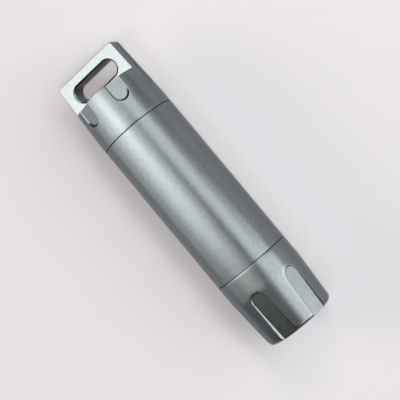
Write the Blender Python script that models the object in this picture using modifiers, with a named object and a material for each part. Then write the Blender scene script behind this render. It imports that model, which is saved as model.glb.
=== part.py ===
"""A keychain capsule, lying on its side.

A turned tube is closed at each end by a fluted screw cap, which has a hollow threaded spigot and a seal ring. The
ring cap ends in a flat tang with a slot for a key ring. The axis runs along Y with the ring end at +Y, the tang is
level, and the lowest flat of the round sides stands on Z = 0, with the origin under the middle of the whole length.
Lengths are in metres.
"""

import math

import bmesh
import bpy
from mathutils import Matrix

MM = 0.001
DEG = math.pi / 180

# How finely round shapes are divided
SIDES = 48
CORNER_STEPS = 4
CORD_SIDES = 12
ROUND_END_SIDES = 24
SHARP_ANGLE = 30 * DEG
MERGE_DISTANCE = 0.001 * MM

# Body
BODY_RADIUS = 10.0 * MM
BARREL_SPAN = 42.0 * MM
SEAM_GAP = 0.25 * MM
EDGE_BREAK = 0.15 * MM

# Seal rings, the grooves that carry them and the land that they run on inside the barrel's mouth
LAND_WALL = 1.4 * MM
SEAL_CORD_RADIUS = 0.75 * MM
SEAL_FIT = 0.12 * MM
FRONT_COLLAR = 0.8 * MM
REAR_COLLAR = 0.8 * MM
MOUTH_LEAD = 0.35 * MM

# Threads, right hand, cut into the spigots and into the barrel
PITCH = 1.75 * MM
THREAD_TURNS = 3.25
THREAD_DEPTH = 0.6 * MM
THREAD_STEP = 0.5 * MM
THREAD_CREST_SHARE = 0.25
FLANK_ANGLE = 30 * DEG
FLANK_GAP = 0.15 * MM
RUNNING_GAP = 0.25 * MM
SPIGOT_WALL = 1.4 * MM
SPIGOT_LEAD = 0.4 * MM
OVERRUN = 0.2 * MM

# Flutes, the same number round each cap
FLUTE_COUNT = 6
FLUTE_DRAFT = 45 * DEG

# Ring cap
RING_CAP_LENGTH = 19.3 * MM
RING_STRAIGHT = 2.8 * MM
RING_TAPER = 2.4 * DEG
RING_CORNER = 0.8 * MM
RING_ROOF_WALL = 3.0 * MM
RING_FLUTE_START = 6.1 * MM
RING_FLUTE_HALF_WIDTH = 1.75 * MM
RING_FLUTE_DEPTH = 0.57 * MM
TANG_LENGTH = 8.25 * MM
TANG_THICKNESS = 5.5 * MM
SLOT_BAR = 2.44 * MM
SLOT_FOOT_WALL = 1.53 * MM
SLOT_SIDE_WALL = 2.62 * MM
SLOT_CHAMFER = 0.35 * MM

# Grip cap
GRIP_CAP_LENGTH = 18.5 * MM
GRIP_STRAIGHT = 6.05 * MM
GRIP_TAPER = 3.2 * DEG
GRIP_CORNER = 1.2 * MM
GRIP_END_WALL = 3.0 * MM
GRIP_FLUTE_START = 5.9 * MM
GRIP_FLUTE_HALF_WIDTH = 1.89 * MM
GRIP_FLUTE_DEPTH = 0.31 * MM
GRIP_FLUTE_SLOPE = 5.4 * DEG
GRIP_CLOCKING = 6.5 * DEG

# Radii that follow, from the outside in
LAND_RADIUS = BODY_RADIUS - LAND_WALL
COLLAR_RADIUS = LAND_RADIUS - RUNNING_GAP
SEAL_RADIUS = LAND_RADIUS - SEAL_FIT - SEAL_CORD_RADIUS
GROOVE_RADIUS = SEAL_RADIUS - SEAL_CORD_RADIUS - SEAL_FIT
CUP_RADIUS = GROOVE_RADIUS - SPIGOT_WALL
BARREL_ROOT_RADIUS = LAND_RADIUS - THREAD_STEP
CREST_RADIUS = BARREL_ROOT_RADIUS - RUNNING_GAP
SPIGOT_ROOT_RADIUS = CREST_RADIUS - THREAD_DEPTH
BORE_RADIUS = SPIGOT_ROOT_RADIUS + RUNNING_GAP

# Heights that follow, above the middle of a seam and outwards
SHOULDER = SEAM_GAP / 2
BARREL_END = -SEAM_GAP / 2
GROOVE_TOP = SHOULDER - FRONT_COLLAR
GROOVE_BOTTOM = GROOVE_TOP - 2 * (SEAL_CORD_RADIUS + SEAL_FIT)
SEAL_HEIGHT = (GROOVE_TOP + GROOVE_BOTTOM) / 2
COLLAR_END = GROOVE_BOTTOM - REAR_COLLAR
SPIGOT_END = COLLAR_END - THREAD_TURNS * PITCH
LAND_END = COLLAR_END - PITCH

# Where the axis lies, and the middle of the barrel along it
AXIS_HEIGHT = BODY_RADIUS
BARREL_MIDDLE = (GRIP_CAP_LENGTH - RING_CAP_LENGTH) / 2

# Where sections of turned pieces and threads start, and how far out a corner lies of flats that touch a circle
THREAD_ANGLE = -math.pi / 2
START_ANGLE = THREAD_ANGLE - math.pi / SIDES
CORNER_REACH = 1 / math.cos(math.pi / SIDES)


def collection(name):
    made = bpy.data.collections.new(name)
    bpy.context.scene.collection.children.link(made)
    return made


def axis_empty(name, location, rotation):
    """An empty on the capsule's axis. Its Z points out of the capsule and its Y points up."""
    empty = bpy.data.objects.new(name, None)
    empty.empty_display_size = BODY_RADIUS
    empty.location = location
    empty.rotation_euler = rotation
    PARTS.objects.link(empty)
    return empty


def material(name, colour, metallic, roughness):
    made = bpy.data.materials.new(name)
    made.use_nodes = True
    shader = made.node_tree.nodes["Principled BSDF"]
    shader.inputs["Base Color"].default_value = (*colour, 1)
    shader.inputs["Metallic"].default_value = metallic
    shader.inputs["Roughness"].default_value = roughness
    return made


def spoke(radius, height, angle=START_ANGLE):
    """The corner at this height of flats that touch the radius. A flat is lowest, midway between two spokes."""
    reach = radius * CORNER_REACH
    return reach * math.cos(angle), reach * math.sin(angle), height


def turned(name, profile, closed, axis):
    """A turned piece. The profile lists radii and heights, down the outer side and up the inner one."""
    count = len(profile)
    edges = [(index, (index + 1) % count) for index in range(count if closed else count - 1)]
    mesh = bpy.data.meshes.new(name)
    mesh.from_pydata([spoke(radius, height) for radius, height in profile], edges, [])
    part = bpy.data.objects.new(name, mesh)
    part.parent = axis
    PARTS.objects.link(part)
    screw = part.modifiers.new("turn", "SCREW")
    screw.axis = "Z"
    screw.angle = 2 * math.pi
    screw.steps = SIDES
    screw.render_steps = SIDES
    screw.use_merge_vertices = True
    screw.merge_threshold = MERGE_DISTANCE
    return part


def cutter(name, shape, axis):
    """Keep a mesh as a cutter, which is shown as wires and isn't a part."""
    bmesh.ops.recalc_face_normals(shape, faces=shape.faces)
    mesh = bpy.data.meshes.new(name)
    shape.to_mesh(mesh)
    shape.free()
    made = bpy.data.objects.new(name, mesh)
    made.parent = axis
    made.hide_render = True
    made.display_type = "WIRE"
    CUTTERS.objects.link(made)
    return made


def cut(part, tool):
    boolean = part.modifiers.new(tool.name, "BOOLEAN")
    boolean.operation = "DIFFERENCE"
    boolean.object = tool


def finish(part, finish_material):
    """Turn the modifiers' result into the piece's own mesh, shaded smooth between crisp edges."""
    bpy.context.view_layer.update()
    graph = bpy.context.evaluated_depsgraph_get()
    shape = bpy.data.meshes.new_from_object(part.evaluated_get(graph))
    part.modifiers.clear()
    part.data = shape
    shape.shade_smooth()
    shape.set_sharp_from_angle(angle=SHARP_ANGLE)
    shape.materials.clear()
    shape.materials.append(finish_material)


def thread_cutter(name, section, start, turns, axis):
    """A section of radii and heights, carried up a right-hand helix from the height that is its start.

    Its own flats lie midway between those of the turned pieces, so that no edge of it runs along theirs.
    """
    shape = bmesh.new()
    corners = [shape.verts.new(spoke(radius, start + height, THREAD_ANGLE)) for radius, height in section]
    face = shape.faces.new(corners)
    steps = math.floor(turns * SIDES)
    bmesh.ops.spin(
        shape,
        geom=[face],
        cent=(0, 0, 0),
        axis=(0, 0, 1),
        dvec=(0, 0, PITCH / SIDES),
        angle=steps * 2 * math.pi / SIDES,
        steps=steps,
    )
    return cutter(name, shape, axis)


def flank_section(inner, inner_half, outer, outer_half):
    """A thread cutter's section: its half widths at its inner and outer radius."""
    return [(inner, -inner_half), (outer, -outer_half), (outer, outer_half), (inner, inner_half)]


def spigot_thread_cutter(name, axis):
    """What is cut away between the ridges of a spigot, up to where the thread runs out under the rear collar."""
    half_gap = PITCH * (1 - THREAD_CREST_SHARE) / 2
    outer = CREST_RADIUS + OVERRUN
    section = flank_section(
        SPIGOT_ROOT_RADIUS,
        half_gap - THREAD_DEPTH * math.tan(FLANK_ANGLE),
        outer,
        half_gap + OVERRUN * math.tan(FLANK_ANGLE),
    )
    start = SPIGOT_END - 1.5 * PITCH
    run_out = COLLAR_END - PITCH / 2
    return thread_cutter(name, section, start, (run_out - start) / PITCH, axis)


def barrel_thread_cutter(name, axis):
    """The room for a spigot's ridge, from one turn below the spigot's end up into the open seal land."""
    inner = BORE_RADIUS - OVERRUN
    half_ridge = PITCH * THREAD_CREST_SHARE / 2 + FLANK_GAP
    section = flank_section(
        inner,
        half_ridge + (CREST_RADIUS - inner) * math.tan(FLANK_ANGLE),
        BARREL_ROOT_RADIUS,
        half_ridge - RUNNING_GAP * math.tan(FLANK_ANGLE),
    )
    start = SPIGOT_END - PITCH
    return thread_cutter(name, section, start, (LAND_END + PITCH - start) / PITCH, axis)


def round_ended_block(shape, half_width, length, height, draft, place):
    """A block with half-round ends, from Y = 0 to its length, on Z = 0, whose walls lean out by the draft."""
    fit = 1 / math.cos(math.pi / ROUND_END_SIDES)
    half_step = Matrix.Rotation(math.pi / ROUND_END_SIDES, 4, "Z")
    made = bmesh.ops.create_cone(
        shape,
        cap_ends=True,
        segments=ROUND_END_SIDES,
        radius1=half_width * fit,
        radius2=(half_width + height * math.tan(draft)) * fit,
        depth=height,
        matrix=Matrix.Translation((0, half_width, height / 2)) @ half_step,
    )["verts"]
    far_end = [vert for vert in made if vert.co.y > half_width]
    bmesh.ops.translate(shape, verts=far_end, vec=(0, length - 2 * half_width, 0))
    bmesh.ops.transform(shape, verts=made, matrix=place)


def flute_cutter(name, first_angle, start, half_width, floor_radius, floor_slope, cap_length, axis):
    """One block for each flute. It starts with a round end and runs out past the end of the cap."""
    shape = bmesh.new()
    stand = Matrix(((0, 0, 1, 0), (1, 0, 0, 0), (0, 1, 0, 0), (0, 0, 0, 1)))
    tilt = Matrix.Rotation(-floor_slope, 4, "X")
    run = cap_length - start
    length = run / math.cos(floor_slope) + 2 * half_width
    height = BODY_RADIUS - floor_radius + run * math.tan(floor_slope) + 2 * OVERRUN
    for index in range(FLUTE_COUNT):
        turn = Matrix.Rotation(first_angle + 2 * math.pi * index / FLUTE_COUNT, 4, "Z")
        place = turn @ Matrix.Translation((floor_radius, 0, start)) @ stand @ tilt
        round_ended_block(shape, half_width, length, height, FLUTE_DRAFT, place)
    return cutter(name, shape, axis)


def tapered_head(length, straight, taper, corner):
    """The outside of a cap, from the middle of its end face down to its shoulder."""
    reach = BODY_RADIUS * math.cos(taper) + straight * math.sin(taper)
    centre_height = length - corner
    centre_radius = (reach - corner - centre_height * math.sin(taper)) / math.cos(taper)
    points = [(0, length)]
    for step in range(CORNER_STEPS + 1):
        angle = math.pi / 2 + (taper - math.pi / 2) * step / CORNER_STEPS
        points.append((centre_radius + corner * math.cos(angle), centre_height + corner * math.sin(angle)))
    points.append((BODY_RADIUS, straight))
    points.append((BODY_RADIUS, SHOULDER + EDGE_BREAK))
    points.append((BODY_RADIUS - EDGE_BREAK, SHOULDER))
    return points


def spigot(cup_top):
    """The spigot below a cap's shoulder: two collars with the seal's groove, the thread's crest and the cup."""
    return [
        (COLLAR_RADIUS, SHOULDER),
        (COLLAR_RADIUS, GROOVE_TOP),
        (GROOVE_RADIUS, GROOVE_TOP),
        (GROOVE_RADIUS, GROOVE_BOTTOM),
        (COLLAR_RADIUS, GROOVE_BOTTOM),
        (COLLAR_RADIUS, COLLAR_END),
        (CREST_RADIUS, COLLAR_END),
        (CREST_RADIUS, SPIGOT_END + SPIGOT_LEAD),
        (CREST_RADIUS - SPIGOT_LEAD, SPIGOT_END),
        (CUP_RADIUS, SPIGOT_END),
        (CUP_RADIUS, cup_top),
        (0, cup_top),
    ]


def land_radius_at(height, straight, taper):
    """The radius of a cap's tapered outside at this height."""
    return BODY_RADIUS - (height - straight) * math.tan(taper)


def tang_cutter(name, axis):
    """Two blocks that leave the flat tang between them."""
    shape = bmesh.new()
    width = 2 * (BODY_RADIUS + OVERRUN)
    depth = BODY_RADIUS + OVERRUN - TANG_THICKNESS / 2
    length = TANG_LENGTH + OVERRUN
    for side in (-1, 1):
        place = Matrix.Translation(
            (0, side * (TANG_THICKNESS + depth) / 2, RING_CAP_LENGTH - TANG_LENGTH + length / 2)
        )
        bmesh.ops.create_cube(shape, size=1, matrix=place @ Matrix.Diagonal((width, depth, length, 1)))
    return cutter(name, shape, axis)


def slot_cutters(axis):
    """The key ring's slot, which leaves a bar at the end and a wall at each side of the tang, and its chamfers."""
    width = TANG_LENGTH - SLOT_BAR - SLOT_FOOT_WALL
    middle = RING_CAP_LENGTH - SLOT_BAR - width / 2
    tang_half_width = math.sqrt(
        land_radius_at(middle, RING_STRAIGHT, RING_TAPER) ** 2 - (TANG_THICKNESS / 2) ** 2
    )
    length = 2 * (tang_half_width - SLOT_SIDE_WALL)
    slot = bmesh.new()
    height = TANG_THICKNESS + 2 * OVERRUN
    lay = Matrix(((0, 1, 0, -length / 2), (0, 0, 1, -height / 2), (1, 0, 0, middle), (0, 0, 0, 1)))
    round_ended_block(slot, width / 2, length, height, 0, lay)
    chamfers = bmesh.new()
    depth = SLOT_CHAMFER + OVERRUN
    narrow = width / 2 - OVERRUN
    start = TANG_THICKNESS / 2 - depth
    rim = Matrix(((0, 1, 0, OVERRUN - length / 2), (0, 0, 1, start), (1, 0, 0, middle), (0, 0, 0, 1)))
    for turn in (0, math.pi):
        place = Matrix.Rotation(turn, 4, "Z") @ rim
        round_ended_block(chamfers, narrow, length - 2 * OVERRUN, depth + OVERRUN, math.pi / 4, place)
    return [cutter("cut_slot", slot, axis), cutter("cut_slot_chamfers", chamfers, axis)]


def seal_ring(name, axis):
    """A cord of round section in its groove. It slides with its cap."""
    section = []
    for step in range(CORD_SIDES):
        angle = -2 * math.pi * step / CORD_SIDES
        section.append(
            (SEAL_RADIUS + SEAL_CORD_RADIUS * math.cos(angle), SEAL_HEIGHT + SEAL_CORD_RADIUS * math.sin(angle))
        )
    finish(turned(name, section, True, axis), RUBBER)


def ring_cap(axis):
    shoulder_of_tang = RING_CAP_LENGTH - TANG_LENGTH
    head = tapered_head(RING_CAP_LENGTH, RING_STRAIGHT, RING_TAPER, RING_CORNER)
    part = turned("ring_cap", head + spigot(shoulder_of_tang - RING_ROOF_WALL), False, axis)
    floor_radius = land_radius_at(RING_FLUTE_START, RING_STRAIGHT, RING_TAPER) - RING_FLUTE_DEPTH
    first_angle = math.pi / 2 + math.pi / FLUTE_COUNT
    cut(part, tang_cutter("cut_tang", axis))
    cut(
        part,
        flute_cutter(
            "cut_ring_flutes",
            first_angle,
            RING_FLUTE_START,
            RING_FLUTE_HALF_WIDTH,
            floor_radius,
            RING_TAPER,
            RING_CAP_LENGTH,
            axis,
        ),
    )
    for tool in slot_cutters(axis):
        cut(part, tool)
    cut(part, spigot_thread_cutter("cut_ring_spigot_thread", axis))
    finish(part, CAP_METAL)


def grip_cap(axis):
    head = tapered_head(GRIP_CAP_LENGTH, GRIP_STRAIGHT, GRIP_TAPER, GRIP_CORNER)
    part = turned("grip_cap", head + spigot(GRIP_CAP_LENGTH - GRIP_END_WALL), False, axis)
    floor_radius = BODY_RADIUS - GRIP_FLUTE_DEPTH
    first_angle = math.pi / 2 + GRIP_CLOCKING
    cut(
        part,
        flute_cutter(
            "cut_grip_flutes",
            first_angle,
            GRIP_FLUTE_START,
            GRIP_FLUTE_HALF_WIDTH,
            floor_radius,
            GRIP_FLUTE_SLOPE,
            GRIP_CAP_LENGTH,
            axis,
        ),
    )
    cut(part, spigot_thread_cutter("cut_grip_spigot_thread", axis))
    finish(part, CAP_METAL)


def barrel(axis, ring_end, grip_end):
    """The tube, the same at both ends: a mouth, a seal land and a thread."""
    end = BARREL_SPAN / 2 + BARREL_END
    land_end = BARREL_SPAN / 2 + LAND_END
    lower_half = [
        (BODY_RADIUS, -end + EDGE_BREAK),
        (BODY_RADIUS - EDGE_BREAK, -end),
        (LAND_RADIUS + MOUTH_LEAD, -end),
        (LAND_RADIUS, -end + MOUTH_LEAD),
        (LAND_RADIUS, -land_end),
        (BORE_RADIUS, -land_end),
    ]
    upper_half = [(radius, -height) for radius, height in reversed(lower_half)]
    part = turned("barrel", lower_half + upper_half, True, axis)
    cut(part, barrel_thread_cutter("cut_barrel_ring_thread", ring_end))
    cut(part, barrel_thread_cutter("cut_barrel_grip_thread", grip_end))
    finish(part, BARREL_METAL)


for old in list(bpy.data.objects):
    bpy.data.objects.remove(old)

PARTS = collection("keychain_capsule")
CUTTERS = collection("cutters")
CAP_METAL = material("cap_metal", (0.17, 0.19, 0.195), 1, 0.3)
BARREL_METAL = material("barrel_metal", (0.165, 0.185, 0.19), 1, 0.3)
RUBBER = material("seal_rubber", (0.02, 0.02, 0.022), 0, 0.6)

OUT_AND_UP = (math.pi / 2, 0, math.pi)
OUT_AND_UP_OTHER_WAY = (math.pi / 2, 0, 0)
BARREL_AXIS = axis_empty("barrel_axis", (0, BARREL_MIDDLE, AXIS_HEIGHT), OUT_AND_UP)
RING_END = axis_empty("ring_end_axis", (0, BARREL_MIDDLE + BARREL_SPAN / 2, AXIS_HEIGHT), OUT_AND_UP)
GRIP_END = axis_empty("grip_end_axis", (0, BARREL_MIDDLE - BARREL_SPAN / 2, AXIS_HEIGHT), OUT_AND_UP_OTHER_WAY)

barrel(BARREL_AXIS, RING_END, GRIP_END)
ring_cap(RING_END)
grip_cap(GRIP_END)
seal_ring("ring_end_seal", RING_END)
seal_ring("grip_end_seal", GRIP_END)
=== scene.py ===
"""A keychain capsule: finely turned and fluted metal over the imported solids, in a plain studio."""

import math
from collections import namedtuple

import bmesh
import bpy
from mathutils import Matrix, Vector


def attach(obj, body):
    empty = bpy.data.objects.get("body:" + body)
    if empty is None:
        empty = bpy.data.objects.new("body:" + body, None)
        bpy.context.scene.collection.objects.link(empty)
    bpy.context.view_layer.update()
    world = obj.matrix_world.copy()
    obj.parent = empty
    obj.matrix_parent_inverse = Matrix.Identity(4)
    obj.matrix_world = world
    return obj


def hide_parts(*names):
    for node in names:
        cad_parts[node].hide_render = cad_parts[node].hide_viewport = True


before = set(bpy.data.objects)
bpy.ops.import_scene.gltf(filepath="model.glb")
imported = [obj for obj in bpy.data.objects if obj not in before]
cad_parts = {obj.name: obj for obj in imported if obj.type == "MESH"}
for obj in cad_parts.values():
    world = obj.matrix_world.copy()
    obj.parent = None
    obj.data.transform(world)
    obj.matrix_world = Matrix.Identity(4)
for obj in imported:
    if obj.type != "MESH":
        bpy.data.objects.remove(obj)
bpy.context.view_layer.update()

MM = 0.001
DEG = math.pi / 180
TURN = 2 * math.pi
QUARTER_TURN = math.pi / 2

# Body
BODY_RADIUS = 10.0 * MM
BARREL_SPAN = 42.0 * MM
SEAM_GAP = 0.24 * MM
SEAM_ROUND = 0.012 * MM

# Inside the seams: collars, seal grooves, threads and cups, with heights from a seam towards its cap
LAND_RADIUS = 8.6 * MM
COLLAR_RADIUS = 8.35 * MM
SEAL_RADIUS = 7.73 * MM
SEAL_CORD_RADIUS = 0.75 * MM
GROOVE_RADIUS = 6.86 * MM
CUP_RADIUS = 5.46 * MM
BARREL_ROOT_RADIUS = 8.1 * MM
CREST_RADIUS = 7.85 * MM
SPIGOT_ROOT_RADIUS = 7.25 * MM
BORE_RADIUS = 7.5 * MM
GROOVE_TOP = -0.675 * MM
GROOVE_BOTTOM = -2.415 * MM
SEAL_HEIGHT = (GROOVE_TOP + GROOVE_BOTTOM) / 2
COLLAR_END = -3.215 * MM
LAND_END = -4.965 * MM
SPIGOT_END = -8.9025 * MM
MOUTH_LEAD = 0.35 * MM
SPIGOT_LEAD = 0.4 * MM
PITCH = 1.75 * MM
RUN_IN_TURNS = 1.5
THREAD_CREST_SHARE = 0.25
THREAD_DEPTH = 0.6 * MM
FLANK = math.tan(30 * DEG)
FLANK_GAP = 0.15 * MM
RUNNING_GAP = 0.25 * MM
OVERRUN = 0.2 * MM

# Caps: their outside, their flutes and how high their cups reach
Cap = namedtuple(
    "Cap", "length straight taper corner flute_start half_width floor_radius floor_slope cup_top"
)
RING_CAP = Cap(
    length=19.3 * MM,
    straight=2.8 * MM,
    taper=2.4 * DEG,
    corner=0.8 * MM,
    flute_start=6.1 * MM,
    half_width=1.75 * MM,
    floor_radius=9.292 * MM,
    floor_slope=2.4 * DEG,
    cup_top=8.05 * MM,
)
GRIP_CAP = Cap(
    length=18.5 * MM,
    straight=6.05 * MM,
    taper=3.2 * DEG,
    corner=1.2 * MM,
    flute_start=5.9 * MM,
    half_width=1.89 * MM,
    floor_radius=9.69 * MM,
    floor_slope=5.4 * DEG,
    cup_top=15.5 * MM,
)
KINK_BLEND = 0.5 * MM
FLUTE_COUNT = 6
HALF_FLUTE = math.pi / FLUTE_COUNT
FLUTE_DRAFT = math.tan(45 * DEG)
FLUTE_EDGE = 0.03 * MM
GRIP_CLOCKING = 6.5 * DEG

# Tang and slot
TANG_LENGTH = 8.25 * MM
TANG_FOOT = RING_CAP.length - TANG_LENGTH
TANG_HALF_THICKNESS = 2.75 * MM
TANG_EDGE = 0.14 * MM
SLOT_MIDDLE = 14.72 * MM
SLOT_HALF_LENGTH = 6.47 * MM
SLOT_HALF_WIDTH = 2.14 * MM
SLOT_CHAMFER = 0.35 * MM

# How finely shapes are divided
TURNED_SIDES = 192
SLOT_SIDES = 48
CORD_SIDES = 24
CORNER_STEPS = 8
EDGE_STEPS = 4
THREAD_STEPS = 90
THREAD_OFFSET = TURN / THREAD_STEPS / 3
MERGE_DISTANCE = 0.0005 * MM

# How the mesh of a flute is laid out, and how its walls are found
HEAD_BOTTOM = SEAM_GAP / 2 + SEAM_ROUND
FLUTE_BORDER = BODY_RADIUS * math.pi / FLUTE_COUNT
BOTTOM_ROWS = 12
TOP_ROWS = 12
ROW_STEP = 0.5 * MM
LAND_COLUMNS = 8
FADED_WALL = 0.04 * MM
FADED_COLUMNS = (0, 0.8, 0.85, 0.89, 0.93, 0.96, 1.0)
LARGEST_EDGE_SHARE = 0.45
HIGHEST_WALL = 4 * MM
WALL_HALVINGS = 40
TINY = 1e-9

# How the milled tang is cut out and its faces and edges are told apart
CUTTER_EXCESS = 1 * MM
MESH_SLACK = 0.01 * MM
FLAT_MARGIN = 1.5 * TANG_EDGE
SQUARE_ON = 0.999
SAME_PLANE_ANGLE = 0.05 * DEG
SLOT_RIM_ANGLE = 80 * DEG
CRISP_ANGLE = 40 * DEG
SHADED_SHARP_ANGLE = 38 * DEG

# Where the seams are, and how a cap's own directions turn to face out of the capsule
AXIS_HEIGHT = BODY_RADIUS
BARREL_MIDDLE = -0.4 * MM
FACING_RING_END = Matrix(((-1, 0, 0, 0), (0, 0, 1, 0), (0, 1, 0, 0), (0, 0, 0, 1)))
FACING_GRIP_END = Matrix(((1, 0, 0, 0), (0, 0, -1, 0), (0, 1, 0, 0), (0, 0, 0, 1)))


def on_axis(along):
    """A move to a place on the capsule's axis."""
    return Matrix.Translation((0, along, AXIS_HEIGHT))


BARREL_PLACE = on_axis(BARREL_MIDDLE) @ FACING_RING_END
RING_END = on_axis(BARREL_MIDDLE + BARREL_SPAN / 2) @ FACING_RING_END
GRIP_END = on_axis(BARREL_MIDDLE - BARREL_SPAN / 2) @ FACING_GRIP_END


# Shapes

def object_from(name, shape):
    """A scene object that takes the shape over."""
    mesh = bpy.data.meshes.new(name)
    shape.to_mesh(mesh)
    shape.free()
    made = bpy.data.objects.new(name, mesh)
    bpy.context.scene.collection.objects.link(made)
    return made


def spun(profile):
    """A ring turned from a closed profile of radii and heights."""
    shape = bmesh.new()
    points = [shape.verts.new((radius, 0, height)) for radius, height in profile]
    edges = [shape.edges.new(pair) for pair in zip(points, points[1:] + points[:1])]
    bmesh.ops.spin(
        shape,
        geom=points + edges,
        cent=(0, 0, 0),
        axis=(0, 0, 1),
        angle=TURN,
        steps=TURNED_SIDES,
        use_merge=True,
    )
    bmesh.ops.remove_doubles(shape, verts=shape.verts, dist=MERGE_DISTANCE)
    bmesh.ops.recalc_face_normals(shape, faces=shape.faces)
    return shape


def helix(section, start, turns):
    """A closed section of radii and heights, carried up a right-hand thread from its starting height.

    It starts a little off the turned shape's own corners, so that no corners of the two coincide.
    """
    shape = bmesh.new()
    ahead, aside = math.cos(THREAD_OFFSET), math.sin(THREAD_OFFSET)
    corners = [
        shape.verts.new((radius * ahead, radius * aside, start + height)) for radius, height in section
    ]
    face = shape.faces.new(corners)
    steps = math.floor(turns * THREAD_STEPS)
    bmesh.ops.spin(
        shape,
        geom=[face],
        cent=(0, 0, 0),
        axis=(0, 0, 1),
        dvec=(0, 0, PITCH / THREAD_STEPS),
        angle=steps * TURN / THREAD_STEPS,
        steps=steps,
    )
    bmesh.ops.recalc_face_normals(shape, faces=shape.faces)
    return shape


def put_in_order(shape):
    """Number a shape's corners, edges and faces by where they are, and sort them so."""
    for number, vert in enumerate(sorted(shape.verts, key=lambda vert: vert.co[:])):
        vert.index = number
    shape.verts.sort()
    for parts in (shape.edges, shape.faces):
        ordered = sorted(parts, key=lambda part: sorted(vert.index for vert in part.verts))
        for number, part in enumerate(ordered):
            part.index = number
        parts.sort()


def carved(shape, *cutters):
    """The shape with the cutters taken away, as a new shape.

    A cut leaves its corners in an order that changes from run to run, and later steps follow that order,
    so they are sorted and read again before anything else is done.
    """
    body = object_from("blank", shape)
    tools = []
    for cutter in cutters:
        tool = object_from("cutter", cutter)
        cut = body.modifiers.new("cut", "BOOLEAN")
        cut.operation = "DIFFERENCE"
        cut.object = tool
        tools.append(tool)
    bpy.context.view_layer.update()
    result = bpy.data.meshes.new_from_object(body.evaluated_get(bpy.context.evaluated_depsgraph_get()))
    made = bmesh.new()
    made.from_mesh(result)
    put_in_order(made)
    made.to_mesh(result)
    made.clear()
    made.from_mesh(result)
    bpy.data.meshes.remove(result)
    for used in [body, *tools]:
        mesh = used.data
        bpy.data.objects.remove(used)
        bpy.data.meshes.remove(mesh)
    bmesh.ops.remove_doubles(made, verts=made.verts, dist=MERGE_DISTANCE)
    return made


def cut_back(shape, edges, size, steps):
    """Take edges back by a size: one step leaves a chamfer, more leave a round."""
    bmesh.ops.bevel(
        shape,
        geom=edges,
        offset=size,
        offset_type="OFFSET",
        segments=steps,
        profile=0.5,
        affect="EDGES",
        clamp_overlap=False,
        loop_slide=False,
        material=-1,
    )


def rounded_edge(shoulder):
    """Points of the small round that leads from the body's outside onto a shoulder that faces down."""
    points = []
    for step in range(EDGE_STEPS + 1):
        angle = QUARTER_TURN * step / EDGE_STEPS
        points.append(
            (
                BODY_RADIUS - SEAM_ROUND * (1 - math.cos(angle)),
                shoulder + SEAM_ROUND * (1 - math.sin(angle)),
            )
        )
    return points


def land_radius(cap, height):
    """The radius of a cap's outside at a height above its seam, flutes left out."""
    reach = BODY_RADIUS * math.cos(cap.taper) + cap.straight * math.sin(cap.taper)
    centre_height = cap.length - cap.corner
    centre_radius = (reach - cap.corner - centre_height * math.sin(cap.taper)) / math.cos(cap.taper)
    rise = height - centre_height
    if rise >= cap.corner * math.sin(cap.taper):
        return centre_radius + math.sqrt(max(0, cap.corner**2 - rise**2))
    past = height - cap.straight
    if past <= -KINK_BLEND:
        return BODY_RADIUS
    if past < KINK_BLEND:
        return BODY_RADIUS - math.tan(cap.taper) * (past + KINK_BLEND) ** 2 / (4 * KINK_BLEND)
    return BODY_RADIUS - math.tan(cap.taper) * past


def on_land(cap, angle, height):
    """A point on a cap's outside, flutes left out."""
    radius = land_radius(cap, height)
    return Vector((radius * math.cos(angle), radius * math.sin(angle), height))


def floor_reach(cap, height):
    """How far a flute's floor is from the axis at a height above the seam."""
    return cap.floor_radius - (height - cap.flute_start) * math.tan(cap.floor_slope)


def round_end_height(cap):
    """The height above the seam of the middle of a flute's round end."""
    return cap.flute_start + cap.half_width * math.cos(cap.floor_slope)


def wall_point(cap, height, up, beta):
    """A point on a flute's wall, this far up from the floor, as radial reach, sideways place and height.

    Round the flute's end, beta turns from its tip, where it is zero. On the straight wall beta is None,
    and the height is the point's own.
    """
    side = cap.half_width + up * FLUTE_DRAFT
    if beta is None:
        return Vector((floor_reach(cap, height) + up / math.cos(cap.floor_slope), side, height))
    along = cap.half_width - side * math.cos(beta)
    return Vector(
        (
            cap.floor_radius - along * math.sin(cap.floor_slope) + up * math.cos(cap.floor_slope),
            side * math.sin(beta),
            cap.flute_start + along * math.cos(cap.floor_slope) + up * math.sin(cap.floor_slope),
        )
    )


def wall_height(cap, height, beta):
    """How far a flute's wall rises above its floor to the cap's outside."""
    low, high = 0.0, HIGHEST_WALL
    for _ in range(WALL_HALVINGS):
        middle = (low + high) / 2
        point = wall_point(cap, height, middle, beta)
        if math.hypot(point.x, point.y) < land_radius(cap, point.z):
            low = middle
        else:
            high = middle
    return low


def flute_rows(cap):
    """Rows across half a flute, each with its turn round the flute's end, or else with its height."""
    centre = round_end_height(cap)
    corner_beta = math.atan2(FLUTE_BORDER, centre - HEAD_BOTTOM)
    rows = []
    for step in range(BOTTOM_ROWS + 1):
        rows.append((corner_beta * step / BOTTOM_ROWS, None))
    for step in range(1, TOP_ROWS + 1):
        rows.append((corner_beta + (QUARTER_TURN - corner_beta) * step / TOP_ROWS, None))
    arc_start = cap.length - cap.corner * (1 - math.sin(cap.taper))
    count = round((arc_start - centre) / ROW_STEP)
    for step in range(1, count + 1):
        rows.append((None, centre + (arc_start - centre) * step / count))
    for step in range(1, CORNER_STEPS + 1):
        angle = cap.taper + (QUARTER_TURN - cap.taper) * step / CORNER_STEPS
        rows.append((None, cap.length - cap.corner * (1 - math.sin(angle))))
    return rows


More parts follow.
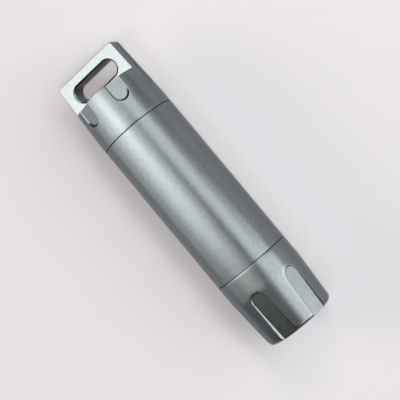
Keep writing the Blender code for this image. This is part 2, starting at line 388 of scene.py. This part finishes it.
def faded_row(cap, height):
    """A row where the flute has no wall left, with as many points as the other rows."""
    points = []
    for share in FADED_COLUMNS:
        side = share * cap.half_width
        reach = math.sqrt(land_radius(cap, height) ** 2 - side**2)
        points.append(Vector((min(floor_reach(cap, height), reach), side, height)))
    last = on_land(cap, math.atan2(points[-1].y, points[-1].x), height)
    points[-1] = last
    start = math.atan2(last.y, last.x)
    for step in range(1, LAND_COLUMNS + 1):
        points.append(on_land(cap, start + (HALF_FLUTE - start) * step / LAND_COLUMNS, height))
    return points


def flute_row(cap, beta, height):
    """A row's points: floor middle, floor edge, rounded top of the wall, and the land to the border."""
    rise = wall_height(cap, height, beta)
    if beta is None and rise < FADED_WALL:
        return faded_row(cap, height)
    floor_edge = wall_point(cap, height, 0, beta)
    top = wall_point(cap, height, rise, beta)
    top_angle = math.atan2(top.y, top.x)
    if beta is None:
        floor_middle = Vector((floor_edge.x, 0, height))
        end_angle, end_height = HALF_FLUTE, height
    else:
        centre = round_end_height(cap)
        floor_middle = Vector((cap.floor_radius - cap.half_width * math.sin(cap.floor_slope), 0, centre))
        reach = min(
            FLUTE_BORDER / max(math.sin(beta), TINY),
            (centre - HEAD_BOTTOM) / max(math.cos(beta), TINY),
        )
        end_angle = reach * math.sin(beta) / BODY_RADIUS
        end_height = centre - reach * math.cos(beta)

    def land_point(share):
        return on_land(
            cap, top_angle + share * (end_angle - top_angle), top.z + share * (end_height - top.z)
        )

    edge = min(FLUTE_EDGE, LARGEST_EDGE_SHARE * rise)
    first = edge / math.hypot((end_angle - top_angle) * BODY_RADIUS, end_height - top.z)
    below = wall_point(cap, height, rise - edge, beta)
    beyond = land_point(first)
    points = [floor_middle, floor_edge]
    for step in range(EDGE_STEPS + 1):
        t = step / EDGE_STEPS
        points.append(below * (1 - t) ** 2 + top * 2 * t * (1 - t) + beyond * t**2)
    for step in range(1, LAND_COLUMNS + 1):
        points.append(land_point(first + (1 - first) * step / LAND_COLUMNS))
    return points


def fluted_head(cap, first_angle):
    """A cap's outside with its flutes, from its end's rim to where its lower edge starts to round."""
    table = [flute_row(cap, beta, height) for beta, height in flute_rows(cap)]
    columns, rows = len(table[0]), len(table)
    shape = bmesh.new()
    grid = bmesh.ops.create_grid(
        shape, x_segments=columns - 1, y_segments=rows - 1, size=1, matrix=Matrix.Translation((1, 1, 0))
    )["verts"]
    for vert in grid:
        column = round(vert.co.x / 2 * (columns - 1))
        row = round(vert.co.y / 2 * (rows - 1))
        vert.co = table[row][column]
    half = shape.faces[:] + shape.edges[:] + shape.verts[:]
    bmesh.ops.mirror(shape, geom=half, axis="Y", merge_dist=MERGE_DISTANCE)
    turn = Matrix.Rotation(first_angle, 3, "Z")
    bmesh.ops.rotate(shape, verts=shape.verts, cent=(0, 0, 0), matrix=turn)
    bmesh.ops.spin(
        shape,
        geom=shape.faces[:],
        cent=(0, 0, 0),
        axis=(0, 0, 1),
        angle=TURN * (FLUTE_COUNT - 1) / FLUTE_COUNT,
        steps=FLUTE_COUNT - 1,
        use_duplicate=True,
    )
    bmesh.ops.remove_doubles(shape, verts=shape.verts, dist=MERGE_DISTANCE)
    bmesh.ops.dissolve_degenerate(shape, edges=shape.edges, dist=MERGE_DISTANCE)
    return shape


def add_spigot(shape, cap):
    """Close a head's end, and carry its lower edge on: the small round, shoulder, spigot and cup."""
    shoulder = SEAM_GAP / 2
    profile = rounded_edge(shoulder)[1:]
    profile += [
        (COLLAR_RADIUS, shoulder),
        (COLLAR_RADIUS, GROOVE_TOP),
        (GROOVE_RADIUS, GROOVE_TOP),
        (GROOVE_RADIUS, GROOVE_BOTTOM),
        (COLLAR_RADIUS, GROOVE_BOTTOM),
        (COLLAR_RADIUS, COLLAR_END),
        (CREST_RADIUS, COLLAR_END),
        (CREST_RADIUS, SPIGOT_END + SPIGOT_LEAD),
        (CREST_RADIUS - SPIGOT_LEAD, SPIGOT_END),
        (CUP_RADIUS, SPIGOT_END),
        (CUP_RADIUS, cap.cup_top),
    ]
    top = [edge for edge in shape.edges if edge.is_boundary and edge.verts[0].co.z > cap.length / 2]
    bmesh.ops.holes_fill(shape, edges=top, sides=0)
    rim = [edge for edge in shape.edges if edge.is_boundary]
    for radius, height in profile:
        made = bmesh.ops.extrude_edge_only(shape, edges=rim)["geom"]
        for vert in made:
            if isinstance(vert, bmesh.types.BMVert):
                angle = math.atan2(vert.co.y, vert.co.x)
                vert.co = (radius * math.cos(angle), radius * math.sin(angle), height)
        rim = [edge for edge in made if isinstance(edge, bmesh.types.BMEdge)]
    bmesh.ops.holes_fill(shape, edges=rim, sides=0)
    bmesh.ops.recalc_face_normals(shape, faces=shape.faces)
    return shape


def tang_cutters():
    """Two blocks that leave the tang between them, and the slot's round-ended block."""
    cutters = []
    size = Vector((2 * BODY_RADIUS + CUTTER_EXCESS, BODY_RADIUS, TANG_LENGTH + CUTTER_EXCESS))
    for side in (-1, 1):
        block = bmesh.new()
        place = Vector((0, side * (TANG_HALF_THICKNESS + size.y / 2), TANG_FOOT + size.z / 2))
        fitted = Matrix.Translation(place) @ Matrix.Diagonal((*size, 1))
        bmesh.ops.create_cube(block, size=1, matrix=fitted)
        cutters.append(block)
    slot = bmesh.new()
    bmesh.ops.create_cone(
        slot,
        cap_ends=True,
        segments=SLOT_SIDES,
        radius1=SLOT_HALF_WIDTH,
        radius2=SLOT_HALF_WIDTH,
        depth=2 * TANG_HALF_THICKNESS + CUTTER_EXCESS,
        matrix=Matrix.Rotation(QUARTER_TURN, 4, "X"),
    )
    stretch = SLOT_HALF_LENGTH - SLOT_HALF_WIDTH
    for side in (-1, 1):
        half = [vert for vert in slot.verts if side * vert.co.x > MERGE_DISTANCE]
        bmesh.ops.translate(slot, verts=half, vec=(side * stretch, 0, 0))
    bmesh.ops.translate(slot, verts=slot.verts, vec=(0, 0, SLOT_MIDDLE))
    return [*cutters, slot]


def is_milled(face):
    """Whether a face lies as the tang's cutters leave one: square to its thickness, or the shoulder."""
    face.normal_update()
    at_foot = abs(face.calc_center_median().z - TANG_FOOT) < MESH_SLACK
    return abs(face.normal.y) > SQUARE_ON or (face.normal.z > SQUARE_ON and at_foot)


def chamfer_slot(shape):
    """Cut the slot's two rims back at half a right angle."""
    rims = [
        edge
        for edge in shape.edges
        if edge.is_manifold
        and edge.calc_face_angle_signed() > SLOT_RIM_ANGLE
        and all(abs(vert.co.x) < SLOT_HALF_LENGTH + SLOT_CHAMFER / 2 for vert in edge.verts)
        and all(abs(vert.co.z - SLOT_MIDDLE) < SLOT_HALF_WIDTH + SLOT_CHAMFER / 2 for vert in edge.verts)
        and any(is_milled(face) for face in edge.link_faces)
    ]
    cut_back(shape, rims, SLOT_CHAMFER, 1)


def clear_beside_flats(shape):
    """Draw what lies close beside the tang's flats onto their edges, which leaves room to round these."""
    on_edges, beside = [], []
    for vert in shape.verts:
        gap = TANG_HALF_THICKNESS - abs(vert.co.y)
        if vert.co.z < TANG_FOOT - MESH_SLACK or abs(gap) > FLAT_MARGIN:
            continue
        if abs(gap) < MERGE_DISTANCE:
            on_edges.append(vert)
        elif gap > 0:
            beside.append(vert)
    nearest = {}
    for vert in beside:
        closest = min(on_edges, key=lambda other: (other.co - vert.co).length)
        if (closest.co - vert.co).length < 2 * FLAT_MARGIN:
            nearest[vert] = closest
    bmesh.ops.weld_verts(shape, targetmap=nearest)


def round_tang_edges(shape):
    """Round the crisp outer edges of the tang. The shoulder's own rim stays crisp."""
    crisp = [
        edge
        for edge in shape.edges
        if max(vert.co.z for vert in edge.verts) > TANG_FOOT + MESH_SLACK
        and edge.is_manifold
        and edge.calc_face_angle_signed() > CRISP_ANGLE
        and any(is_milled(face) for face in edge.link_faces)
    ]
    cut_back(shape, crisp, TANG_EDGE, EDGE_STEPS)


def spigot_thread():
    """What the cutter of a spigot's thread takes away."""
    half_gap = PITCH * (1 - THREAD_CREST_SHARE) / 2
    section = [
        (SPIGOT_ROOT_RADIUS, -half_gap + THREAD_DEPTH * FLANK),
        (CREST_RADIUS + OVERRUN, -half_gap - OVERRUN * FLANK),
        (CREST_RADIUS + OVERRUN, half_gap + OVERRUN * FLANK),
        (SPIGOT_ROOT_RADIUS, half_gap - THREAD_DEPTH * FLANK),
    ]
    start = SPIGOT_END - RUN_IN_TURNS * PITCH
    return helix(section, start, (COLLAR_END - PITCH / 2 - start) / PITCH)


def barrel_thread():
    """What the cutter of a barrel mouth's thread takes away."""
    inner = BORE_RADIUS - OVERRUN
    half_ridge = PITCH * THREAD_CREST_SHARE / 2 + FLANK_GAP
    wide = half_ridge + (CREST_RADIUS - inner) * FLANK
    narrow = half_ridge - RUNNING_GAP * FLANK
    section = [(inner, -wide), (BARREL_ROOT_RADIUS, -narrow), (BARREL_ROOT_RADIUS, narrow), (inner, wide)]
    start = SPIGOT_END - PITCH
    return helix(section, start, (LAND_END + PITCH - start) / PITCH)


def barrel_shape():
    """The tube, with a sealing land and a thread at either mouth."""
    end = BARREL_SPAN / 2 - SEAM_GAP / 2
    land_end = BARREL_SPAN / 2 + LAND_END
    upper = [(radius, -height) for radius, height in rounded_edge(-end)]
    upper += [
        (LAND_RADIUS + MOUTH_LEAD, end),
        (LAND_RADIUS, end - MOUTH_LEAD),
        (LAND_RADIUS, land_end),
        (BORE_RADIUS, land_end),
    ]
    lower = [(radius, -height) for radius, height in reversed(upper)]
    threads = []
    for turned_over in (0, math.pi):
        thread = barrel_thread()
        bmesh.ops.translate(thread, verts=thread.verts, vec=(0, 0, BARREL_SPAN / 2))
        over = Matrix.Rotation(turned_over, 3, "Y")
        bmesh.ops.rotate(thread, verts=thread.verts, cent=(0, 0, 0), matrix=over)
        threads.append(thread)
    return carved(spun(upper + lower), *threads)


def ring_cap_shape():
    """The screw cap with the key-ring tang and its slot. Its milled faces take the second finish, a paler
    film that is painted light.
    """
    shape = add_spigot(fluted_head(RING_CAP, QUARTER_TURN + HALF_FLUTE), RING_CAP)
    shape = carved(shape, *tang_cutters(), spigot_thread())
    bmesh.ops.dissolve_limit(shape, angle_limit=SAME_PLANE_ANGLE, verts=shape.verts, edges=shape.edges)
    clear_beside_flats(shape)
    chamfer_slot(shape)
    round_tang_edges(shape)
    for face in shape.faces:
        if is_milled(face) and min(vert.co.z for vert in face.verts) > TANG_FOOT - MESH_SLACK:
            face.material_index = 1
    return shape


def grip_cap_shape():
    """The plain screw cap, whose flutes run out at its end."""
    shape = add_spigot(fluted_head(GRIP_CAP, QUARTER_TURN + GRIP_CLOCKING), GRIP_CAP)
    return carved(shape, spigot_thread())


def seal_shape():
    """A round seal cord in its place below a cap's shoulder."""
    section = []
    for step in range(CORD_SIDES):
        angle = TURN * step / CORD_SIDES
        radius = SEAL_RADIUS + SEAL_CORD_RADIUS * math.cos(angle)
        section.append((radius, SEAL_HEIGHT + SEAL_CORD_RADIUS * math.sin(angle)))
    return spun(section)


def finished(name, shape, place, finishes, solid):
    """Put a finished shape in its place, shade it, and let it stand for the solid of its own body."""
    bmesh.ops.transform(shape, matrix=place, verts=shape.verts)
    piece = object_from(name, shape)
    piece.data.shade_smooth()
    piece.data.set_sharp_from_angle(angle=SHADED_SHARP_ANGLE)
    for finish in finishes:
        piece.data.materials.append(finish)
    even = piece.modifiers.new("flat faces stay flat", "WEIGHTED_NORMAL")
    even.keep_sharp = True
    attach(piece, solid)
    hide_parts(solid)


# Finishes

CAP_FILM = (0.168, 0.187, 0.193)
BARREL_FILM = (0.166, 0.186, 0.193)
# Painted light: a paler copy of the film that lightens the tang's milled flats
MILLED_LIT_FILM = (0.188, 0.208, 0.215)
FILM_TINT = (0.72, 0.72, 0.73, 1)
FILM_ROUGHNESS = 0.30
# Paler metal along outer edges: real wear, and a painted highlight as well
WORN_AND_HIGHLIGHTED_METAL = (0.30, 0.32, 0.33, 1)
# Painted shade: the near-black that darkens the film in inner corners and creases
CREASE_SHADE_COLOUR = (0.01, 0.011, 0.012, 1)
RUBBER_COLOUR = (0.022, 0.022, 0.024)
RUBBER_ROUGHNESS = 0.5
PAPER_COLOUR = (0.75, 0.725, 0.747)
PAPER_ROUGHNESS = 0.85
PAPER_GLOSS = 0.2

# The size of fine grain as a share of the broad grain under it
FINE_TO_BROAD = 0.36

# Where most noise keeps, where the edge wear with its painted highlight starts and is full, and where the
# painted crease shade starts and is full
USUAL_NOISE = (0.3, 0.7)
WORN_AND_HIGHLIGHTED_FROM_TO = (0.01, 0.12)
CREASE_SHADE_FROM_TO = (0.95, 0.4)

# How much darker and lighter an uneven finish gets
FILM_CLOUDING = (0.975, 1.025)
FILM_GRAIN = (0.86, 1.14)
RUBBER_BLOOM = (0.7, 1.4)
PAPER_MOTTLE = (0.995, 1.005)

# How much of the paler edge colour (wear and painted highlight) and of the painted crease shade shows,
# and how the roughness varies
WORN_AND_HIGHLIGHTED_SHARE = 0.6
CREASE_SHADE_SHARE = 0.85
GRAIN_DULLING = 0.10
CLOUD_DULLING = 0.04
RUBBED_POLISH = 0.05
BLOOM_DULLING = 0.2

# How far off the paper that the metal mirrors starts to darken with painted shade and is darkest, with
# distances across the capsule counted half
FAR_PAPER_PAINTED_SHADE = (0.15, 0.15, 0.152, 1)
FAR_PAPER_SCALE = (0.5, 1, 1)
DIM_FROM = 80 * MM
DIM_TO = 180 * MM


class Nodes:
    """A node tree that is built a node at a time, with links made as each node is placed."""

    def __init__(self, tree):
        self.tree = tree

    def join(self, value, socket):
        """Link an output to a socket, or set the socket to a plain value."""
        if isinstance(value, bpy.types.NodeSocket):
            self.tree.links.new(value, socket)
        else:
            socket.default_value = value

    def add(self, kind, settings=None, **inputs):
        """A new node. Its inputs are given by name, with _ for a space, or by number as in i0."""
        node = self.tree.nodes.new(kind)
        for name, value in (settings or {}).items():
            setattr(node, name, value)
        for name, value in inputs.items():
            numbered = name[1:].isdigit()
            self.join(value, node.inputs[int(name[1:]) if numbered else name.replace("_", " ")])
        return node

    def math(self, operation, *values):
        """The result of one sum."""
        node = self.add("ShaderNodeMath", {"operation": operation})
        for socket, value in zip(node.inputs, values):
            self.join(value, socket)
        return node.outputs["Value"]

    def mix(self, share, first, second):
        """A blend of two colours."""
        mixer = self.add("ShaderNodeMix", {"data_type": "RGBA"}, i0=share, i6=first, i7=second)
        return mixer.outputs[2]

    def ranged(self, value, from_low, from_high, to_low=0.0, to_high=1.0, clamp=True):
        """A value carried from one range of numbers to another."""
        level = self.add("ShaderNodeMapRange", {"clamp": clamp}, Value=value)
        limits = {"From Min": from_low, "From Max": from_high, "To Min": to_low, "To Max": to_high}
        for name, number in limits.items():
            level.inputs[name].default_value = number
        return level.outputs["Result"]

    def varied(self, middle, value, spread):
        """A number that a value between 0 and 1 varies evenly round its middle."""
        low = self.math("SUBTRACT", middle, spread / 2)
        return self.math("MULTIPLY_ADD", value, spread, low)

    def place(self):
        """Where a point lies on its object."""
        return self.add("ShaderNodeTexCoord").outputs["Object"]

    def noise(self, size, **settings):
        """Even noise between 0 and 1, of a given size."""
        scale = self.math("DIVIDE", 1.0, size)
        return self.add("ShaderNodeTexNoise", Vector=self.place(), Scale=scale, **settings).outputs["Fac"]

    def bump(self, height, distance, strength, **under):
        """A surface raised by a height, over an earlier bump's normal if one is given."""
        raised = self.add("ShaderNodeBump", Height=height, Distance=distance, Strength=strength, **under)
        return raised.outputs["Normal"]

    def group(self, tree, **values):
        """The outputs of a node group that is placed with its own values."""
        return self.add("ShaderNodeGroup", {"node_tree": tree}, **values).outputs


def new_group(name, inputs, outputs):
    """A shader node group with float inputs, given with their usual values, and float outputs."""
    group = bpy.data.node_groups.new(name, "ShaderNodeTree")
    for socket, value in inputs.items():
        made = group.interface.new_socket(socket, in_out="INPUT", socket_type="NodeSocketFloat")
        made.default_value = value
    for socket in outputs:
        group.interface.new_socket(socket, in_out="OUTPUT", socket_type="NodeSocketFloat")
    nodes = Nodes(group)
    return nodes, nodes.add("NodeGroupInput").outputs, nodes.add("NodeGroupOutput").inputs


def blasted_grain():
    """The fine pitting that bead blasting leaves: fine dimples over broader, softer ones."""
    usual = {"Grain Size": 0.3 * MM, "Broad Share": 0.4}
    nodes, given, wanted = new_group("blasted_grain", usual, ["Shade", "Height"])
    fine = nodes.noise(given["Grain Size"], Detail=2.0, Roughness=0.55)
    broad_size = nodes.math("DIVIDE", given["Grain Size"], FINE_TO_BROAD)
    broad = nodes.noise(broad_size, Detail=1.0, Roughness=0.5)
    share = given["Broad Share"]
    blend = nodes.add("ShaderNodeMix", {"data_type": "FLOAT"}, Factor=share, A=fine, B=broad)
    for name in ("Shade", "Height"):
        nodes.join(blend.outputs["Result"], wanted[name])
    return nodes.tree


def clouding():
    """Slow unevenness of a film or a rubber's bloom, between 0 and 1."""
    nodes, given, wanted = new_group("clouding", {"Cloud Size": 10 * MM}, ["Shade"])
    cloud = nodes.noise(given["Cloud Size"], Detail=3.0, Roughness=0.5, Distortion=0.4)
    nodes.join(cloud, wanted["Shade"])
    return nodes.tree


def edge_wear_and_highlight():
    """A mask of outer edges rubbed by handling and given a painted highlight, broken up unevenly along
    them.
    """
    nodes, given, wanted = new_group("edge_wear_and_highlight", {"Width": 0.2 * MM, "Patch Size": 2 * MM}, ["Mask"])
    rounded = nodes.add("ShaderNodeBevel", {"samples": 4}, Radius=given["Width"]).outputs["Normal"]
    surface = nodes.add("ShaderNodeNewGeometry").outputs["Normal"]
    level = nodes.add("ShaderNodeVectorMath", {"operation": "DOT_PRODUCT"}, i0=rounded, i1=surface)
    turned = nodes.math("SUBTRACT", 1.0, level.outputs["Value"])
    patches = nodes.noise(given["Patch Size"], Detail=3.0, Roughness=0.6)
    nodes.join(nodes.ranged(nodes.math("MULTIPLY", turned, patches), *WORN_AND_HIGHLIGHTED_FROM_TO), wanted["Mask"])
    return nodes.tree


def turning_marks():
    """Fine rings left by the lathe on what lies inside the body: bores, threads, cups and seam faces."""
    usual = {"Spacing": 0.12 * MM, "Reach": 9.7 * MM}
    nodes, given, wanted = new_group("turning_marks", usual, ["Height"])
    from_axis = nodes.add(
        "ShaderNodeVectorMath", {"operation": "SUBTRACT"}, i0=nodes.place(), i1=(0, 0, AXIS_HEIGHT)
    )
    across = nodes.add("ShaderNodeSeparateXYZ", Vector=from_axis.outputs["Vector"]).outputs
    squares = [nodes.math("MULTIPLY", across[name], across[name]) for name in ("X", "Z")]
    radius = nodes.math("SQRT", nodes.math("ADD", *squares))
    along = nodes.math("ADD", radius, across["Y"])
    rings = nodes.math("DIVIDE", along, given["Spacing"])
    ridges = nodes.math("SINE", nodes.math("MULTIPLY", rings, TURN))
    inside = nodes.math("LESS_THAN", radius, given["Reach"])
    height = nodes.math("MULTIPLY", nodes.math("MULTIPLY_ADD", ridges, 0.5, 0.5), inside)
    nodes.join(height, wanted["Height"])
    return nodes.tree


def painted_crease_shade():
    """A mask of inner corners and creases, where painted shade darkens the film."""
    nodes, given, wanted = new_group("painted_crease_shade", {"Reach": 0.3 * MM}, ["Mask"])
    corner = nodes.add("ShaderNodeAmbientOcclusion", {"samples": 6}, Distance=given["Reach"])
    nodes.join(nodes.ranged(corner.outputs["AO"], *CREASE_SHADE_FROM_TO), wanted["Mask"])
    return nodes.tree


GRAIN = blasted_grain()
CLOUDS = clouding()
WEAR_AND_HIGHLIGHT = edge_wear_and_highlight()
TURNED = turning_marks()
CREASE_SHADE = painted_crease_shade()


def new_material(name):
    """A new material, its nodes and its shader."""
    made = bpy.data.materials.new(name)
    made.use_nodes = True
    return made, Nodes(made.node_tree), made.node_tree.nodes["Principled BSDF"].inputs


def shaded(nodes, colour, value, low, high):
    """A colour made darker or lighter by a value that mostly keeps within the usual range of noise."""
    level = nodes.ranged(value, *USUAL_NOISE, low, high, clamp=False)
    scaled = nodes.add("ShaderNodeVectorMath", {"operation": "SCALE"}, i0=colour, Scale=level)
    return scaled.outputs["Vector"]


def anodised(name, film_colour):
    """Satin blue-grey anodised aluminium over a blasted grain, rubbed paler along its edges with a
    painted highlight there too, and darkened with painted shade in its inner corners.
    """
    made, nodes, shader = new_material(name)
    grain = nodes.group(GRAIN, Grain_Size=0.3 * MM)
    clouds = nodes.group(CLOUDS, Cloud_Size=9 * MM)["Shade"]
    worn_lit_edges = nodes.group(WEAR_AND_HIGHLIGHT, Width=0.14 * MM, Patch_Size=1.5 * MM)["Mask"]
    shaded_creases = nodes.group(CREASE_SHADE, Reach=0.3 * MM)["Mask"]
    rings = nodes.group(TURNED)["Height"]

    film = shaded(nodes, film_colour, clouds, *FILM_CLOUDING)
    film = shaded(nodes, film, grain["Shade"], *FILM_GRAIN)
    # Outer edges made paler: wear, with a painted highlight as well
    rubbed_and_lit = nodes.mix(nodes.math("MULTIPLY", worn_lit_edges, WORN_AND_HIGHLIGHTED_SHARE), film, WORN_AND_HIGHLIGHTED_METAL)
    # Painted shade darkens the film in inner corners and creases
    film_with_shaded_creases = nodes.mix(nodes.math("MULTIPLY", shaded_creases, CREASE_SHADE_SHARE), rubbed_and_lit, CREASE_SHADE_COLOUR)
    nodes.join(film_with_shaded_creases, shader["Base Color"])

    dull = nodes.varied(FILM_ROUGHNESS, grain["Shade"], GRAIN_DULLING)
    dull = nodes.varied(dull, clouds, CLOUD_DULLING)
    nodes.join(nodes.math("MULTIPLY_ADD", worn_lit_edges, -RUBBED_POLISH, dull), shader["Roughness"])

    turned = nodes.bump(rings, distance=0.004 * MM, strength=0.6)
    pitted = nodes.bump(grain["Height"], distance=0.012 * MM, strength=0.5, Normal=turned)
    nodes.join(pitted, shader["Normal"])
    shader["Metallic"].default_value = 1
    shader["Specular Tint"].default_value = FILM_TINT
    return made


def rubber():
    """Matt black seal rubber with a faint grey bloom."""
    made, nodes, shader = new_material("seal_rubber")
    grain = nodes.group(GRAIN, Grain_Size=0.15 * MM)
    clouds = nodes.group(CLOUDS, Cloud_Size=2.5 * MM)["Shade"]
    nodes.join(shaded(nodes, RUBBER_COLOUR, clouds, *RUBBER_BLOOM), shader["Base Color"])
    nodes.join(nodes.varied(RUBBER_ROUGHNESS, clouds, BLOOM_DULLING), shader["Roughness"])
    nodes.join(nodes.bump(grain["Height"], distance=0.008 * MM, strength=0.4), shader["Normal"])
    return made


def paper():
    """Pale, faintly pink paper, which takes a painted shade beyond a hand's reach where the metal mirrors
    it, so the metal mirrors little there.
    """
    made, nodes, shader = new_material("paper_floor")
    grain = nodes.group(GRAIN, Grain_Size=0.6 * MM)
    tone = shaded(nodes, PAPER_COLOUR, grain["Shade"], *PAPER_MOTTLE)
    away = nodes.add(
        "ShaderNodeVectorMath", {"operation": "MULTIPLY"}, i0=nodes.place(), i1=FAR_PAPER_SCALE
    )
    away = nodes.add("ShaderNodeVectorMath", {"operation": "LENGTH"}, i0=away.outputs["Vector"])
    far_shade = nodes.ranged(away.outputs["Value"], DIM_FROM, DIM_TO)
    mirrored = nodes.add("ShaderNodeLightPath").outputs["Is Glossy Ray"]
    # Painted shade on the far paper, seen only in the metal's reflections
    tone = nodes.mix(nodes.math("MULTIPLY", far_shade, mirrored), tone, FAR_PAPER_PAINTED_SHADE)
    nodes.join(tone, shader["Base Color"])
    nodes.join(nodes.bump(grain["Height"], distance=0.01 * MM, strength=0.3), shader["Normal"])
    shader["Roughness"].default_value = PAPER_ROUGHNESS
    shader["Specular IOR Level"].default_value = PAPER_GLOSS
    return made


CAP_METAL = anodised("anodised_cap", CAP_FILM)
BARREL_METAL = anodised("anodised_barrel", BARREL_FILM)
MILLED_LIT_METAL = anodised("anodised_milled_lit", MILLED_LIT_FILM)
RUBBER = rubber()


# Studio

CAMERA_PLACE = Vector((72.848, -10.252, 223.166)) * MM
CAMERA_TARGET = Vector((0.108, -2.272, 9.966)) * MM
CAMERA_ROLL = -123.852 * DEG
LENS_MM = 84.7
SENSOR_MM = 36
FLOOR_REACH = 3
BACKDROP_COLOUR = (0.79, 0.77, 0.79, 1)
ROOM_WALLS = (0.1, (0.12, 0.12, 0.122, 1))
ROOM_CEILING = (0.7, (0.04, 0.04, 0.041, 1))
BOX_DISTANCE = 600 * MM
LAMP_DISTANCE = 1500 * MM
WATTS_PER_BRIGHTNESS = 4
WARM = (1.0, 0.985, 0.95)
WHITE = (1.0, 1.0, 1.0)
SoftBox = namedtuple("SoftBox", "name over_low over_high along_low along_high brightness tint")

# What the metal mirrors
MIRRORED_BOXES = (
    SoftBox("wide_box", -59, 15, -4, 29, 2.1, WARM),
    SoftBox("key_box", -43, -1, -4, 28, 1.1, WARM),
    SoftBox("tang_box", -28, -7, 10, 20, 2.4, WARM),
    SoftBox("left_fill", -89, -56, -7, 32, 1.1, WHITE),
    SoftBox("top_fill", 15, 28, 5, 40, 1.3, WHITE),
    SoftBox("side_box", 27, 63, -2, 50, 2.2, WHITE),
    SoftBox("right_fill", 60, 89, -3, 40, 0.35, WHITE),
    SoftBox("low_side_box", 25, 89, -60, -3, 2.35, WHITE),
    SoftBox("side_key", 66, 89, -60, -12, 4.3, WHITE),
)

# What lights the paper, with one soft shadow
PAPER_LIGHTS = (
    SoftBox("shadow_light", 10, 23, -22, 2, 9.15, (1.06, 1.0, 0.91)),
    SoftBox("shadow_far_light", 28, 40, 0, 43, 5.1, (1.07, 1.0, 0.96)),
    SoftBox("shadow_side_light", 34, 69, -39, 11, 2.5, (0.91, 1.0, 1.09)),
    SoftBox("slot_light", -23, 0, -15, -5, 4.65, (0.94, 1.0, 1.2)),
    SoftBox("paper_fill", -75, -49, 17, 52, 3.3, (1.03, 1.0, 0.85)),
)


def soft_box(box, distance, mirrored):
    """A soft box that fills the sky between two turns over the capsule from +Z to +X, and two towards +Y.

    The metal mirrors it, or else it lights the paper.
    """
    over = (box.over_low + box.over_high) / 2 * DEG
    along = (box.along_low + box.along_high) / 2 * DEG
    away = Vector((math.sin(over) * math.cos(along), math.sin(along), math.cos(over) * math.cos(along)))
    sideways = Vector((math.cos(over), 0, -math.sin(over)))
    upwards = away.cross(sideways)
    lamp = bpy.data.lights.new(box.name, "AREA")
    lamp.shape = "RECTANGLE"
    lamp.size = 2 * distance * math.tan((box.over_high - box.over_low) / 2 * DEG) * math.cos(along)
    lamp.size_y = 2 * distance * math.tan((box.along_high - box.along_low) / 2 * DEG)
    lamp.energy = WATTS_PER_BRIGHTNESS * lamp.size * lamp.size_y * box.brightness
    lamp.color = box.tint
    light = bpy.data.objects.new(box.name, lamp)
    turn = Matrix((sideways, upwards, away)).transposed()
    light.matrix_world = Matrix.Translation(Vector((0, 0, AXIS_HEIGHT)) + away * distance) @ turn.to_4x4()
    light.visible_camera = False
    light.visible_glossy = mirrored
    light.visible_diffuse = not mirrored
    bpy.context.scene.collection.objects.link(light)


def surroundings():
    """A dim room, brighter at its walls than overhead. Beyond the floor the camera sees pale paper."""
    world = bpy.data.worlds.new("studio")
    world.use_nodes = True
    nodes = Nodes(world.node_tree)
    room = world.node_tree.nodes["Background"]
    direction = nodes.add("ShaderNodeTexCoord").outputs["Generated"]
    height = nodes.add("ShaderNodeSeparateXYZ", Vector=direction).outputs["Z"]
    ramp = nodes.add("ShaderNodeValToRGB", Fac=height)
    for element, (position, colour) in zip(ramp.color_ramp.elements, (ROOM_WALLS, ROOM_CEILING)):
        element.position = position
        element.color = colour
    nodes.join(ramp.outputs["Color"], room.inputs["Color"])
    backdrop = nodes.add("ShaderNodeBackground", Color=BACKDROP_COLOUR)
    camera_ray = nodes.add("ShaderNodeLightPath").outputs["Is Camera Ray"]
    shown = nodes.add(
        "ShaderNodeMixShader",
        Fac=camera_ray,
        i1=room.outputs["Background"],
        i2=backdrop.outputs["Background"],
    )
    nodes.join(shown.outputs["Shader"], world.node_tree.nodes["World Output"].inputs["Surface"])
    bpy.context.scene.world = world
    world.cycles_visibility.diffuse = False


def studio():
    """The paper floor, the lights and the room."""
    floor_shape = bmesh.new()
    bmesh.ops.create_grid(floor_shape, x_segments=1, y_segments=1, size=FLOOR_REACH)
    floor = object_from("floor", floor_shape)
    floor.data.materials.append(paper())
    for box in MIRRORED_BOXES:
        soft_box(box, BOX_DISTANCE, mirrored=True)
    for box in PAPER_LIGHTS:
        soft_box(box, LAMP_DISTANCE, mirrored=False)
    surroundings()


def camera():
    """The camera where the photograph was taken from, turned about its line of sight."""
    lens = bpy.data.cameras.new("camera")
    lens.lens = LENS_MM
    lens.sensor_width = SENSOR_MM
    made = bpy.data.objects.new("camera", lens)
    made.location = CAMERA_PLACE
    sight = (CAMERA_TARGET - CAMERA_PLACE).to_track_quat("-Z", "Y").to_matrix()
    made.rotation_euler = (sight @ Matrix.Rotation(CAMERA_ROLL, 3, "Z")).to_euler()
    bpy.context.scene.collection.objects.link(made)
    bpy.context.scene.camera = made


finished("barrel_tube", barrel_shape(), BARREL_PLACE, [BARREL_METAL], "barrel")
finished("ring_cap_head", ring_cap_shape(), RING_END, [CAP_METAL, MILLED_LIT_METAL], "ring_cap")
finished("grip_cap_head", grip_cap_shape(), GRIP_END, [CAP_METAL], "grip_cap")
finished("ring_end_cord", seal_shape(), RING_END, [RUBBER], "ring_end_seal")
finished("grip_end_cord", seal_shape(), GRIP_END, [RUBBER], "grip_end_seal")
studio()
camera()
bpy.context.scene.view_settings.view_transform = "Standard"
